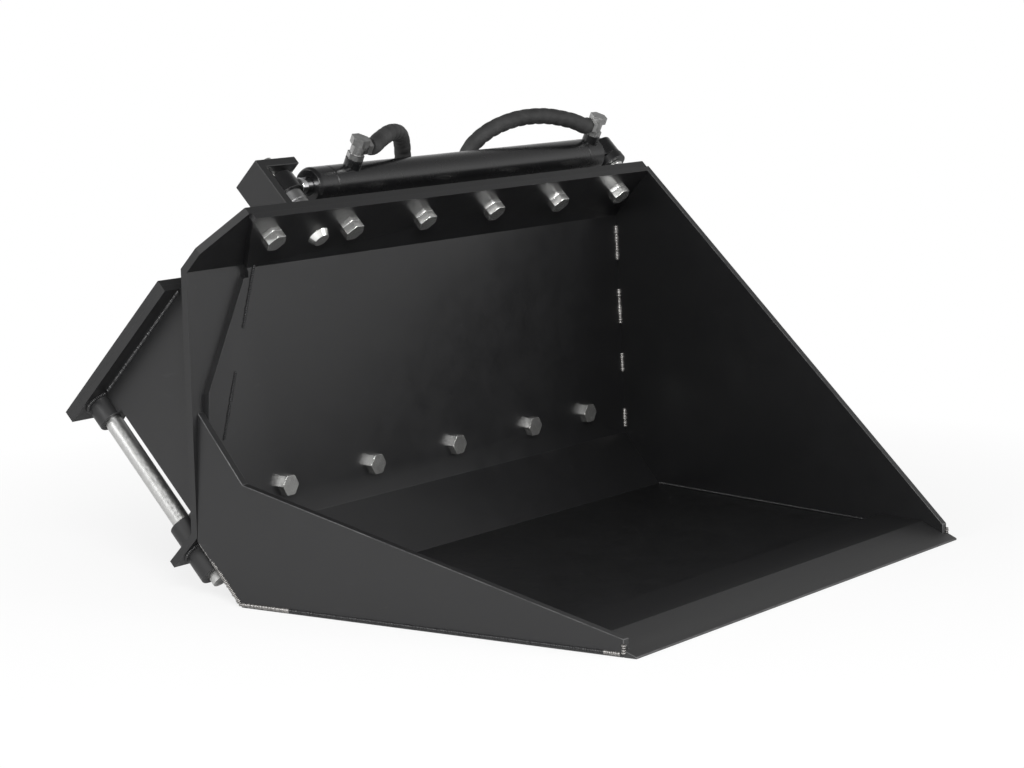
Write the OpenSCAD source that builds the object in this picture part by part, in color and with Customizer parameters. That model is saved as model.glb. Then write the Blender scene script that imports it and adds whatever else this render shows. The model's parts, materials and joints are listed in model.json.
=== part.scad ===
// Side tilting bucket for a small loader.
// X runs across the bucket, -Y is the cutting edge side, +Z is up.
// The underside of the floor lies on Z = 0 and the object is centred on X and Y.

/* [Bucket] */
// Half the width of the bucket at its back
back_half = 534; // [480:1:600]
// Length of the floor from the back to the tip of the cutting edge
floor_len = 720; // [600:1:860]
// Distance from the back to the fold between heel and floor
heel_y = 80; // [60:1:100]
// Height of the fold between heel and back
heel_z = 90; // [70:1:110]
// Height of the fold between back and top strip
strip_z = 486; // [450:1:560]
// Length of the slanted top strip
strip_len = 120; // [100:1:150]
// Thickness of the bent bucket sheet
sheet_t = 10; // [6:0.5:12]
// Thickness of the side plates
side_t = 12; // [6:0.5:14]
// Angle by which each side closes towards the front
taper_deg = 8.2; // [4:0.1:11]
// Angle by which each side leans in towards the top
lean_deg = 3.2; // [1:0.1:4]
// Height of the low pouring side at the back
pour_back_z = 280; // [220:1:330]
// Height of the low pouring side at its knee
pour_knee_z = 180; // [140:1:210]
// Depth of the cutting edge
edge_depth = 145; // [100:1:200]
// Thickness of the cutting edge
edge_t = 25; // [18:1:30]

/* [Tilt frame] */
// Angle of the tilt axis below the horizontal
tilt_deg = 45; // [42:1:48]
// Thickness of the bent tilt plate
tilt_plate_t = 12; // [8:1:14]
// Length of the foot flange that carries the pivot boss
foot_len = 72; // [66:1:90]
// Thickness of the loader plate
loader_plate_t = 10; // [8:1:14]
// Thickness of the frame plate in front of the loader plate
frame_plate_t = 10; // [6:1:12]
// Distance along the tilt axis from the floor corner to the rear face
face_z = 376; // [366:1:420]
// Upper edge of the loader plate, measured up the plate
plate_top = 290; // [260:1:300]
// Lower edge of the loader plate, measured down the plate
plate_low = 12; // [0:1:40]
// Radius of each lock pin hole in the loader plate
lock_hole_r = 16.5; // [10:0.5:22]
// Distance of the lock pin holes from the middle
lock_hole_x = 350; // [250:1:400]
// Thickness of the gussets
gusset_t = 10; // [8:1:14]
// Lower edge of the windows in the loader plate, measured up the plate
window_low = 58; // [55:1:90]
// Upper edge of the windows in the loader plate, measured up the plate
window_high = 240; // [180:1:245]

/* [Pivot] */
// Distance of the pivot pin from the middle
pivot_x = 500; // [485:1:505]
// Distance of the pivot pin up the plate
pivot_v = 28; // [26:1:30]
// Radius of the pivot pin
pivot_r = 14; // [10:0.5:16]
// Radius of the pivot boss
boss_r = 25; // [22:0.5:26]
// Length of the pivot boss
boss_len = 44; // [30:1:48]
// Radius of the two frame bushes
bush_r = 22; // [20:0.5:24]
// Length of the frame bushes
bush_len = 38; // [30:1:44]

/* [Cylinder] */
// Outer radius of the cylinder barrel
barrel_r = 28.5; // [25:0.5:31]
// Wall of the cylinder barrel
barrel_wall = 6; // [4:0.5:8]
// Radius of the piston rod
rod_r = 14; // [10:0.5:16]
// Distance of the rod pin from the middle
rod_pin_x = 307; // [295:1:315]
// Distance of the barrel pin from the middle
barrel_pin_x = 502; // [490:1:505]
// Radius of the rod pin and the barrel pin
eye_pin_r = 12; // [9:0.5:14]
// Radius of the eyes at both ends
eye_r = 25; // [22:0.5:27]
// Width of the eyes along their pins
eye_w = 32; // [26:1:36]
// Height of the cylinder axis above the tilt flange
axis_rise = 74; // [72:1:82]

/* [Fasteners] */
// Radius of the bolt shanks
bolt_r = 10; // [8:0.5:13]
// Width across flats of heads and nuts
hex_af = 30; // [26:1:40]
// Height of a bolt head
head_h = 12.5; // [10:0.5:18]
// Height of a thin nut under the head
thin_nut_h = 7; // [6:0.5:12]
// Height of a nut
nut_h = 17; // [12:1:22]
// Spacing of the upper bolts
upper_pitch = 170; // [150:1:176]
// Height of the lower bolts above the floor
lower_bolt_z = 146; // [135:1:170]

/* [Hoses] */
// Outer radius of the hoses
hose_r = 14; // [8:0.5:16]

/* [Hidden] */
$fn = 64;
// Small overrun of every cut
over = 1;
// Overrun that passes right through the whole bucket
far = 2000;
// Clearance of a bolt in its hole
bolt_gap = 0.5;
// Radial clearance of a running fit
run_gap = 0.05;
// Clearance between parts that pass each other
pass_gap = 0.6;
// Number of upper bolts
upper_count = 6;
// Height of the upper bolts over the middle of their strip
bolt_rise = 20;
// Places of the lower bolts as shares of the half width
lower_shares = [-0.665, -0.29, 0.085, 0.46, 0.75];
// Spare length of a shank past its nut
shank_spare = 5;
// Radius of the chamfer cone on heads and nuts, as a share of the corner radius
hex_chamfer_share = 0.93;

cs = cos(tilt_deg);
sn = sin(tilt_deg);
// Offset of a fold's far corner for a sheet of thickness one
fold = (1 - sn) / cs;

// World Y and Z of a point given up the plate (v) and along the tilt axis (w)
function wy(v, w) = w * sn - v * cs;
function wz(v, w) = w * cs + v * sn;
// Distance along the tilt axis and up the plate of a world point
function lw(y, z) = y * sn + z * cs;
function lv(y, z) = z * sn - y * cs;

strip_w = lw(0, strip_z);
strip_v0 = lv(0, strip_z);
strip_v = strip_v0 + strip_len / 2;
flange_w = strip_w + tilt_plate_t;
axis_w = flange_w + axis_rise;
// Height of the foot fold above the heel fold
foot_above = 5;
foot_z = heel_z + foot_above;
foot_w = lw(0, foot_z);
frame_w = face_z - loader_plate_t - frame_plate_t;
rear_y = wy(-plate_low, face_z);
shift_y = (floor_len - rear_y) / 2;
edge_y = floor_len - edge_depth;
// Depth of the bevel on the cutting edge
bevel_depth = 60;
// Thickness left at the tip of the cutting edge
tip_t = 3;
// Depth of the cutting edge in front of the side plates
edge_ahead = 20;
side_tip_y = floor_len - edge_ahead;
strip_top_y = -strip_len * cs;
strip_top_z = strip_z + strip_len * sn;
// Half width of the back's free corner below the top strip on the low side
wing_x = 418;
// Half width of the top strip's free corner on the low side
wing_top_x = 488;
corner_r = hex_af / 2 / cos(30);

module placed() {
    translate([0, shift_y, 0]) children();
}

// Turns a shape so that its Z runs along the tilt axis and its -Y up the plate
module tilted() {
    rotate([-tilt_deg, 0, 0]) children();
}

// Extrudes a side view outline, drawn in Y and Z, from x0 to x1
module along_x(x0, x1) {
    translate([x0, 0, 0]) rotate([90, 0, 90]) linear_extrude(x1 - x0) children();
}

// Frame in which the outer face of the right side plate is the plane X = 0
module side_frame() {
    translate([back_half, 0, heel_z]) rotate([0, 0, -taper_deg]) rotate([0, -lean_deg, 0]) children();
}

module outside_of_side(inset) {
    side_frame() translate([-inset, -far, -far]) cube([far, 2 * far, 2 * far]);
}

module hex_prism(h) {
    cylinder(h = h, r = corner_r, $fn = 6);
}

// Hexagon with its upper corners turned to a cone
module hex_body(h) {
    intersection() {
        hex_prism(h);
        cylinder(h = h + corner_r * hex_chamfer_share, r1 = corner_r * hex_chamfer_share + h, r2 = 0);
    }
}

// Bolt whose head rises along +Z from its seat and whose shank runs down
module bolt(shank) {
    hex_body(head_h);
    translate([0, 0, -shank]) cylinder(h = shank, r = bolt_r);
}

module nut(h) {
    difference() {
        hex_body(h);
        translate([0, 0, -over]) cylinder(h = h + 2 * over, r = bolt_r);
    }
}

function upper_x(i) = (i - (upper_count - 1) / 2) * upper_pitch;
function lower_x(i) = lower_shares[i] * back_half;

module at_upper_bolts() {
    for (i = [0 : upper_count - 1])
        tilted() translate([upper_x(i), -strip_v - bolt_rise, 0]) children();
}

module at_lower_bolts() {
    for (i = [0 : len(lower_shares) - 1])
        translate([lower_x(i), 0, lower_bolt_z]) children();
}

// Bucket

module sheet_outline() {
    hy = -heel_y;
    a1 = atan2(heel_z, heel_y);
    k1 = sheet_t * tan(a1 / 2);
    k2 = sheet_t * tan((90 - a1) / 2);
    polygon([
        [-edge_y, 0], [hy, 0], [0, heel_z], [0, strip_z], [strip_top_y, strip_top_z],
        [strip_top_y - sheet_t * sn, strip_top_z - sheet_t * cs],
        [-sheet_t, strip_z - sheet_t * fold],
        [-sheet_t, heel_z + k2], [hy - k1, sheet_t], [-edge_y, sheet_t]
    ]);
}

// Cuts the back and the strip to the slanted free edge of the low side
module wing_cut() {
    back_x = back_half - side_t;
    translate([0, over, 0]) rotate([90, 0, 0]) linear_extrude(sheet_t + 2 * over)
        polygon([
            [-far, pour_back_z], [-back_x, pour_back_z], [-wing_x, strip_z], [-far, strip_z]
        ]);
    tilted() translate([0, 0, strip_w - 2 * sheet_t]) linear_extrude(3 * sheet_t)
        polygon([
            [-far, -strip_v0 + sheet_t], [-wing_x, -strip_v0 + sheet_t], [-wing_x, -strip_v0],
            [-wing_top_x, -strip_v0 - strip_len - over], [-far, -strip_v0 - strip_len - over]
        ]);
}

module bucket_shell() {
    color([0.06, 0.06, 0.065]) difference() {
        along_x(-far / 2, far / 2) sheet_outline();
        outside_of_side(side_t);
        mirror([1, 0, 0]) outside_of_side(side_t);
        wing_cut();
        at_upper_bolts() translate([0, 0, strip_w - 2 * sheet_t])
            cylinder(h = 3 * sheet_t, r = bolt_r + bolt_gap);
        at_lower_bolts() rotate([90, 0, 0]) translate([0, 0, -over])
            cylinder(h = sheet_t + 2 * over, r = bolt_r + bolt_gap);
        tilted() translate([-rod_pin_x, -strip_v, strip_w - 2 * sheet_t])
            cylinder(h = 3 * sheet_t, r = eye_pin_r);
    }
}

// Side plate on +X, cut to an outline in world Y and Z that ends with these points
module side_slab(outline_top) {
    intersection() {
        side_frame() translate([-side_t, -far, -far]) cube([side_t, 2 * far, 2 * far]);
        along_x(0, far) polygon(concat([
            [-side_tip_y, edge_t], [-side_tip_y, 0], [-heel_y, 0], [0, heel_z]
        ], outline_top));
    }
}

module right_side_plate() {
    color([0.06, 0.06, 0.065])
        side_slab([[0, strip_z], [strip_top_y, strip_top_z]]);
}

module left_side_plate() {
    color([0.06, 0.06, 0.065]) mirror([1, 0, 0])
        side_slab([[0, pour_back_z], [-heel_y, pour_knee_z]]);
}

module cutting_edge() {
    color([0.09, 0.09, 0.095]) difference() {
        along_x(-far / 2, far / 2) polygon([
            [-edge_y, 0], [-edge_y, edge_t], [bevel_depth - floor_len, edge_t], [-floor_len, tip_t],
            [-floor_len, 0]
        ]);
        for (m = [0, 1]) mirror([m, 0, 0]) {
            outside_of_side(0);
            intersection() {
                outside_of_side(side_t);
                translate([-far, -side_tip_y, -far]) cube(2 * far);
            }
        }
    }
}

module upper_bolts() {
    color([0.72, 0.72, 0.70]) at_upper_bolts()
        translate([0, 0, strip_w - sheet_t - thin_nut_h]) mirror([0, 0, 1])
        bolt(thin_nut_h + sheet_t + tilt_plate_t + nut_h + shank_spare);
}

module upper_thin_nuts() {
    color([0.70, 0.70, 0.68]) at_upper_bolts()
        translate([0, 0, strip_w - sheet_t]) mirror([0, 0, 1]) nut(thin_nut_h);
}

module upper_nuts() {
    color([0.70, 0.70, 0.68]) at_upper_bolts()
        translate([0, 0, flange_w]) nut(nut_h);
}

module lower_bolts() {
    color([0.72, 0.72, 0.70]) at_lower_bolts()
        translate([0, -sheet_t, 0]) rotate([90, 0, 0])
        bolt(sheet_t + tilt_plate_t + nut_h + shank_spare);
}

module lower_nuts() {
    color([0.70, 0.70, 0.68]) at_lower_bolts()
        translate([0, tilt_plate_t, 0]) rotate([-90, 0, 0]) nut(nut_h);
}

// Tilt plate, bolted to the back of the bucket

// Windows in the upright web: their number, lower and upper edges, ends and the bars between them
web_windows = 4;
// Room between the lower bolts or the upper fold and the windows
web_room = 46;
web_fold_room = 34;
web_end_bar = 28;
web_low_z = lower_bolt_z + web_room;
web_high_z = strip_z - web_fold_room;
web_end = back_half - web_end_bar;
web_start = -380;
web_bar = 44;
web_window_w = (web_end - web_start - (web_windows - 1) * web_bar) / web_windows;
// Height of the side corners over the upper fold
corner_rise = 40;

module tilt_plate() {
    t = tilt_plate_t;
    foot_y = foot_len * cs;
    foot_end_z = foot_z - foot_len * sn;
    color([0.07, 0.07, 0.075]) difference() {
        along_x(-back_half, back_half) polygon([
            [strip_top_y, strip_top_z], [0, strip_z], [0, foot_z], [foot_y, foot_end_z],
            [foot_y + t * sn, foot_end_z + t * cs], [t, foot_z + t * fold],
            [t, strip_z + t * fold], [strip_top_y + t * sn, strip_top_z + t * cs]
        ]);
        for (s = [-1, 1])
            tilted() translate([0, 0, strip_w - over]) linear_extrude(t + 2 * over) polygon([
                [s * back_half, -strip_v0 - corner_rise], [s * wing_top_x, -strip_v0 - strip_len],
                [s * wing_top_x, -strip_v0 - strip_len - over], [s * far, -strip_v0 - strip_len - over],
                [s * far, -strip_v0 - corner_rise]
            ]);
        for (i = [0 : web_windows - 1])
            translate([web_start + i * (web_window_w + web_bar), -over, web_low_z])
                cube([web_window_w, t + 2 * over, web_high_z - web_low_z]);
        at_upper_bolts() translate([0, 0, strip_w - over])
            cylinder(h = t + 2 * over, r = bolt_r + bolt_gap);
        at_lower_bolts() rotate([-90, 0, 0]) translate([0, 0, -over])
            cylinder(h = t + 2 * over, r = bolt_r + bolt_gap);
        tilted() translate([-rod_pin_x, -strip_v, strip_w - over])
            cylinder(h = t + 2 * over, r = eye_pin_r);
        tilted() translate([-pivot_x, -pivot_v, foot_w - over])
            cylinder(h = t + 2 * over, r = pivot_r + run_gap);
    }
}

module pivot_boss() {
    color([0.10, 0.10, 0.10]) tilted() translate([-pivot_x, -pivot_v, foot_w - boss_len])
        difference() {
            cylinder(h = boss_len, r = boss_r);
            translate([0, 0, -over]) cylinder(h = boss_len + 2 * over, r = pivot_r + run_gap);
        }
}

// Bracket over the rod eye
bracket_t = 14;
// Room between the rod eye and the upright of the bracket
bracket_room = 16;
// Room above the rod eye
bracket_air = 6;
bracket_in = eye_r + bracket_room;
bracket_under = axis_w + eye_w / 2 + bracket_air;
bracket_half = 30;

module rod_bracket() {
    color([0.08, 0.08, 0.085]) tilted() translate([-rod_pin_x, -strip_v, 0]) difference() {
        union() {
            translate([-bracket_in - bracket_t, -bracket_half, flange_w])
                cube([bracket_t, 2 * bracket_half, bracket_under + bracket_t - flange_w]);
            translate([-bracket_in, -bracket_half, bracket_under])
                cube([bracket_in + bracket_half, 2 * bracket_half, bracket_t]);
        }
        translate([0, 0, bracket_under - over]) cylinder(h = bracket_t + 2 * over, r = eye_pin_r);
    }
}

// Upper end of the rod pin with its nut
module rod_pin_nut() {
    low_share = 0.6;
    color([0.72, 0.72, 0.70]) tilted() translate([-rod_pin_x, -strip_v, bracket_under])
        union() {
            cylinder(h = bracket_t + nut_h, r = eye_pin_r);
            translate([0, 0, bracket_t]) hex_body(nut_h * low_share);
        }
}

// Lower end of the rod pin, held in the flange and the top strip
module rod_pin_end() {
    head = 10;
    flare = 6;
    color([0.72, 0.72, 0.70]) tilted() translate([-rod_pin_x, -strip_v, 0]) union() {
        translate([0, 0, strip_w - sheet_t]) cylinder(h = sheet_t + tilt_plate_t, r = eye_pin_r);
        translate([0, 0, strip_w - sheet_t - head])
            cylinder(h = head, r1 = eye_pin_r, r2 = eye_pin_r + flare);
    }
}

// Fixed frame, carried by the loader

module plate_slab(w, t) {
    tilted() translate([-back_half, -plate_top, w]) cube([2 * back_half, plate_top + plate_low, t]);
}

module lock_holes(w, t) {
    for (s = [-1, 1])
        tilted() translate([s * lock_hole_x, -lock_hole_v, w - over])
            cylinder(h = t + 2 * over, r = lock_hole_r);
}
lock_hole_v = plate_low + lock_hole_r;

// Windows between the gussets
module windows(w, t) {
    ends = [-pivot_x, gusset_left_x, gusset_right_x, gusset_end_x];
    for (i = [0 : len(ends) - 2])
        tilted() translate([ends[i] + window_margin, -window_high, w - over])
            cube([ends[i + 1] - ends[i] - 2 * window_margin, window_high - window_low, t + 2 * over]);
}
// Distance of the windows from the gussets
window_margin = 42;

module loader_plate() {
    color([0.06, 0.06, 0.065]) difference() {
        plate_slab(face_z - loader_plate_t, loader_plate_t);
        lock_holes(face_z - loader_plate_t, loader_plate_t);
        windows(face_z - loader_plate_t, loader_plate_t);
    }
}

module frame_plate() {
    color([0.07, 0.07, 0.075]) difference() {
        plate_slab(frame_w, frame_plate_t);
        lock_holes(frame_w, frame_plate_t);
        windows(frame_w, frame_plate_t);
    }
}

// Front of the fixed frame, clear of the tilt plate and its nuts
gusset_y = 32;
front_bar_t = 12;
// Lower edge and height of the front bar as shares of the strip's height
bar_low_share = 0.62;
bar_share = 0.16;
front_bar_z = strip_z * bar_low_share;
front_bar_h = strip_z * bar_share;
// Distance of the left gusset's open edge from the bushes
gusset_over_bush = 8;
gusset_low_v = pivot_v + bush_r + gusset_over_bush;
// Room between the foot flange and the gussets
foot_pass = 6;
left_bush_w = foot_w + tilt_plate_t + pass_gap;

// Point in world Y and Z from its place up the plate and along the tilt axis
function at(v, w) = [wy(v, w), wz(v, w)];
// Upper corners shared by all gussets
gusset_top = [
    at(plate_top, frame_w), [gusset_y, wz(plate_top, frame_w) + (wy(plate_top, frame_w) - gusset_y) * fold]
];

module left_gusset() {
    front_end = left_bush_w + bush_len;
    rear_start = frame_w - bush_len;
    color([0.09, 0.09, 0.095]) difference() {
        along_x(-pivot_x - gusset_t / 2, -pivot_x + gusset_t / 2) polygon(concat(gusset_top, [
            [gusset_y, (left_bush_w - gusset_y * sn) / cs], at(pivot_v, left_bush_w), at(pivot_v, front_end),
            at(gusset_low_v, front_end), at(gusset_low_v, rear_start), at(pivot_v, rear_start),
            at(pivot_v, frame_w)
        ]));
        tilted() translate([-pivot_x, -pivot_v, left_bush_w - over])
            cylinder(h = frame_w - left_bush_w + 2 * over, r = bush_r);
    }
}

module gusset_at(x) {
    start = left_bush_w + foot_pass;
    along_x(x - gusset_t / 2, x + gusset_t / 2) polygon(concat(gusset_top, [
        [gusset_y, (start - gusset_y * sn) / cs], at(-plate_low, start), at(-plate_low, frame_w)
    ]));
}

gusset_left_x = (lower_x(0) + lower_x(1)) / 2;
gusset_right_x = (lower_x(2) + lower_x(3)) / 2;
gusset_end_x = back_half - gusset_t;

module middle_gussets() {
    color([0.09, 0.09, 0.095]) for (x = [gusset_left_x, gusset_right_x]) gusset_at(x);
}

module right_gusset() {
    color([0.09, 0.09, 0.095]) gusset_at(gusset_end_x - gusset_t / 2);
}

// Bar between the tops of the gussets, in front of them
module front_bar() {
    left = -pivot_x - gusset_t / 2;
    color([0.07, 0.07, 0.075]) translate([left, gusset_y - front_bar_t, front_bar_z])
        cube([gusset_end_x - left, front_bar_t, front_bar_h]);
}

module frame_bush(w) {
    tilted() translate([-pivot_x, -pivot_v, w]) difference() {
        cylinder(h = bush_len, r = bush_r);
        translate([0, 0, -over]) cylinder(h = bush_len + 2 * over, r = pivot_r);
    }
}

module front_bush() {
    color([0.10, 0.10, 0.10]) frame_bush(left_bush_w);
}

module rear_bush() {
    color([0.10, 0.10, 0.10]) frame_bush(frame_w - bush_len);
}

// Length of the pin past the boss
pin_stand = 14;
// Radius of the cross hole near the pin's end
cross_hole_r = 3;

module pivot_pin() {
    start = foot_w - boss_len - pin_stand;
    color([0.75, 0.75, 0.74]) tilted() translate([-pivot_x, -pivot_v, 0]) difference() {
        translate([0, 0, start]) cylinder(h = frame_w - start, r = pivot_r);
        translate([0, -2 * pivot_r, start + pin_stand / 2]) rotate([-90, 0, 0])
            cylinder(h = 4 * pivot_r, r = cross_hole_r);
    }
}

// Cylinder bracket on the right, welded to the top edges of both plates
ear_t = 14;
ear_half = 26;
ear_w = axis_w - eye_w / 2 - pass_gap - ear_t;

module cylinder_bracket() {
    color([0.08, 0.08, 0.085]) tilted() translate([barrel_pin_x, 0, 0]) difference() {
        union() {
            translate([-ear_half, -plate_top - ear_t, frame_w])
                cube([2 * ear_half, ear_t, ear_w + ear_t - frame_w]);
            translate([-ear_half, -strip_v, ear_w]) cube([2 * ear_half, strip_v - plate_top, ear_t]);
            translate([0, -strip_v, ear_w]) cylinder(h = ear_t, r = ear_half);
        }
        translate([0, -strip_v, ear_w - over]) cylinder(h = ear_t + 2 * over, r = eye_pin_r);
    }
}

// Pin through the ear and the base eye, with a flat head at each end
module barrel_pin() {
    pin_head = 6;
    head_over = 4;
    length = ear_t + 2 * pass_gap + eye_w;
    color([0.72, 0.72, 0.70]) tilted() translate([barrel_pin_x, -strip_v, ear_w]) union() {
        translate([0, 0, -pin_head]) cylinder(h = pin_head, r = eye_pin_r + head_over);
        cylinder(h = length, r = eye_pin_r);
        translate([0, 0, length]) cylinder(h = pin_head, r = eye_pin_r + head_over);
    }
}

// Cylinder, drawn along +X from the rod eye

// Length of the base cap between the barrel and its eye
base_len = 40;
// Length of the gland at the rod end
gland_len = 42;
// Distance from the rod pin to the face of the gland at rest
gland_start = 52;
// Distance between the base cap and its eye
base_neck = 8;
barrel_end_x = barrel_pin_x - eye_r - base_neck;
gland_x = -rod_pin_x + gland_start;
tube_x = gland_x + gland_len;
// Depth to which the gland reaches into the barrel
gland_in = 20;
// Length of the piston
piston_h = 36;
// Space left behind the piston at rest
piston_rest = 8;
piston_x = barrel_end_x - base_len - piston_rest - piston_h;
// Distance from the rod pin to the joint between rod eye and rod
neck_past_eye = 4;
rod_neck = eye_r + neck_past_eye;

module on_axis(x) {
    tilted() translate([x, -strip_v, axis_w]) rotate([0, 90, 0]) children();
}

module cylinder_tube() {
    length = barrel_end_x - base_len - tube_x;
    color([0.05, 0.05, 0.055]) on_axis(tube_x) difference() {
        cylinder(h = length, r = barrel_r);
        translate([0, 0, -over]) cylinder(h = length + 2 * over, r = barrel_r - barrel_wall);
    }
}

module cylinder_gland() {
    lip = 6;
    lip_in = 3;
    color([0.07, 0.07, 0.075]) on_axis(gland_x) difference() {
        union() {
            cylinder(h = lip, r1 = barrel_r - lip_in, r2 = barrel_r);
            translate([0, 0, lip]) cylinder(h = gland_len - lip, r = barrel_r);
            cylinder(h = gland_len + gland_in, r = barrel_r - barrel_wall);
        }
        translate([0, 0, -over]) cylinder(h = gland_len + gland_in + 2 * over, r = rod_r + run_gap);
    }
}

module base_cap() {
    web_share = 0.7;
    color([0.05, 0.05, 0.055]) difference() {
        union() {
            on_axis(barrel_end_x - base_len) cylinder(h = base_len, r = barrel_r);
            tilted() translate([barrel_pin_x, -strip_v, axis_w - eye_w / 2]) cylinder(h = eye_w, r = eye_r);
            tilted() translate([barrel_end_x - over, -strip_v - eye_r * web_share, axis_w - eye_w / 2])
                cube([barrel_pin_x - barrel_end_x, 2 * eye_r * web_share, eye_w]);
        }
        tilted() translate([barrel_pin_x, -strip_v, axis_w - eye_w / 2 - over])
            cylinder(h = eye_w + 2 * over, r = eye_pin_r + run_gap);
    }
}

module cylinder_rod() {
    start = -rod_pin_x + rod_neck;
    color([0.78, 0.78, 0.77]) on_axis(start) cylinder(h = piston_x - start, r = rod_r);
}

module piston() {
    color([0.5, 0.5, 0.5]) on_axis(piston_x) cylinder(h = piston_h, r = barrel_r - barrel_wall - run_gap);
}

module rod_eye() {
    color([0.10, 0.10, 0.105]) tilted() translate([-rod_pin_x, -strip_v, axis_w]) difference() {
        union() {
            translate([0, 0, -eye_w / 2]) cylinder(h = eye_w, r = eye_r);
            rotate([0, 90, 0]) cylinder(h = rod_neck, r = rod_r);
        }
        translate([0, 0, -eye_w / 2 - over]) cylinder(h = eye_w + 2 * over, r = eye_pin_r);
    }
}

module rod_pin() {
    color([0.72, 0.72, 0.70]) tilted() translate([-rod_pin_x, -strip_v, flange_w + pass_gap])
        cylinder(h = bracket_under - flange_w - 2 * pass_gap, r = eye_pin_r);
}

spacer_count = 3;
spacer_r = 20;

module rod_spacers() {
    room = axis_w - eye_w / 2 - flange_w - pass_gap;
    step = room / spacer_count;
    groove = 1.5;
    slit = 0.3;
    color([0.62, 0.62, 0.62]) for (i = [0 : spacer_count - 1])
        tilted() translate([-rod_pin_x, -strip_v, flange_w + pass_gap + i * step]) difference() {
            union() {
                cylinder(h = step - slit, r = spacer_r - groove);
                translate([0, 0, groove]) cylinder(h = step - slit - 2 * groove, r = spacer_r);
            }
            translate([0, 0, -over]) cylinder(h = step + 2 * over, r = eye_pin_r);
        }
}

// Ports and fittings on top of the barrel
port_r = 14;
port_h = 12;
fit_r = 11;
fit_h = 34;
// Length of a fitting's side arm
fit_arm = 26;
// Distance of the rod port from the gland
rod_port_in = 48;
rod_port_x = tube_x + rod_port_in;
base_port_x = barrel_end_x - base_len / 2;
axis_y = wy(strip_v, axis_w);
axis_z = wz(strip_v, axis_w);
port_top_z = axis_z + barrel_r + port_h;
// Height of the side arm on its fitting, as a share of the fitting
arm_share = 0.55;
fit_z = port_top_z + fit_h * arm_share;
// Lean of the ports and fittings to the front
port_lean = 25;

module leaned() {
    translate([0, axis_y, axis_z]) rotate([port_lean, 0, 0]) translate([0, -axis_y, -axis_z]) children();
}

module port_boss(x) {
    translate([x, axis_y, axis_z]) difference() {
        cylinder(h = barrel_r + port_h, r = port_r);
        rotate([0, 90, 0]) cylinder(h = 4 * port_r, r = barrel_r, center = true);
    }
}

module port_bosses() {
    color([0.06, 0.06, 0.065]) for (x = [rod_port_x, base_port_x])
        leaned() port_boss(x);
}

// Elbow on a port: an upright body, two hexagons and a side arm towards s along X
module port_fitting(x, s) {
    base_h = 9;
    cap_h = 12;
    cap_in = 10;
    cap_share = 1.4;
    thin_share = 0.7;
    collar_x = 12;
    collar_h = 10;
    translate([x, axis_y, port_top_z]) union() {
        cylinder(h = fit_h, r = fit_r);
        cylinder(h = base_h, r = port_r, $fn = 6);
        translate([0, 0, fit_h - cap_in]) cylinder(h = cap_h, r = fit_r * cap_share, $fn = 6);
        translate([0, 0, fit_z - port_top_z]) rotate([0, s * 90, 0])
            cylinder(h = fit_arm, r = fit_r * thin_share);
        translate([s * collar_x, 0, fit_z - port_top_z]) rotate([0, s * 90, 0])
            cylinder(h = collar_h, r = hose_r, $fn = 6);
    }
}

module rod_port_fitting() {
    color([0.66, 0.66, 0.66]) leaned() port_fitting(rod_port_x, 1);
}

module base_port_fitting() {
    color([0.66, 0.66, 0.66]) leaned() port_fitting(base_port_x, -1);
}

// Hose routes from the fittings, over and behind the barrel, as steps from their starts
hose_y = axis_y - (fit_z - axis_z) * sin(port_lean);
hose_z = axis_z + (fit_z - axis_z) * cos(port_lean);
rod_hose_start = [rod_port_x + fit_arm, hose_y, hose_z];
base_hose_start = [base_port_x - fit_arm, hose_y, hose_z];
rod_hose_steps = [
    [0, 0, 0], [10, 0, 0], [32, 6, 8], [76, 22, 16], [122, 44, 10], [154, 66, -14], [167, 78, -48],
    [170, 82, -74], [170, 82, -86]
];
base_hose_steps = [
    [0, 0, 0], [-10, 0, 0], [-36, 7, 10], [-86, 24, 20], [-140, 42, 18], [-190, 60, 2], [-224, 74, -24],
    [-238, 80, -54], [-240, 82, -74], [-240, 82, -86]
];
rod_hose = [for (p = rod_hose_steps) rod_hose_start + p];
base_hose = [for (p = base_hose_steps) base_hose_start + p];
hose_sides = 10;
hose_cuts = 3;

function curve(a, b, c, d, t) =
    b + (c - a) * t / 2 + (a - b * 2.5 + c * 2 - d / 2) * t * t + ((b - c) * 1.5 + (d - a) / 2) * t * t * t;
function route(p) = [
    for (i = [0 : len(p) - 2], k = [0 : hose_cuts - 1])
        curve(p[max(i - 1, 0)], p[i], p[i + 1], p[min(i + 2, len(p) - 1)], k / hose_cuts),
    p[len(p) - 1]
];
function unit(v) = v / norm(v);
// Direction of the hose at a ring, square to its seat at both ends
function along(q, i, start) =
    i == 0 ? [start, 0, 0] : i == len(q) - 1 ? [0, 0, -1] : unit(q[i + 1] - q[i - 1]);
// Direction square to the hose that stays level behind the bucket
function ring_side(t) = unit(cross(t, [0, 1, 0]));

// Hose through the points, leaving its fitting towards start along X
module hose(points, start) {
    q = route(points);
    n = len(q);
    ring = [
        for (i = [0 : n - 1])
            let (t = along(q, i, start), u = ring_side(t), v = cross(t, u))
            for (k = [0 : hose_sides - 1])
                let (a = 360 * k / hose_sides)
                q[i] + hose_r * (cos(a) * u + sin(a) * v)
    ];
    sides = [
        for (i = [0 : n - 2], k = [0 : hose_sides - 1])
            let (a = i * hose_sides + k, b = i * hose_sides + (k + 1) % hose_sides)
            each [[a, a + hose_sides, b], [b, a + hose_sides, b + hose_sides]]
    ];
    first = [for (k = [0 : hose_sides - 1]) k];
    last = [for (k = [hose_sides - 1 : -1 : 0]) (n - 1) * hose_sides + k];
    polyhedron(points = ring, faces = concat(sides, [first], [last]));
}

module rod_port_hose() {
    color([0.09, 0.09, 0.09]) hose(rod_hose, 1);
}

module base_port_hose() {
    color([0.09, 0.09, 0.09]) hose(base_hose, -1);
}

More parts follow.
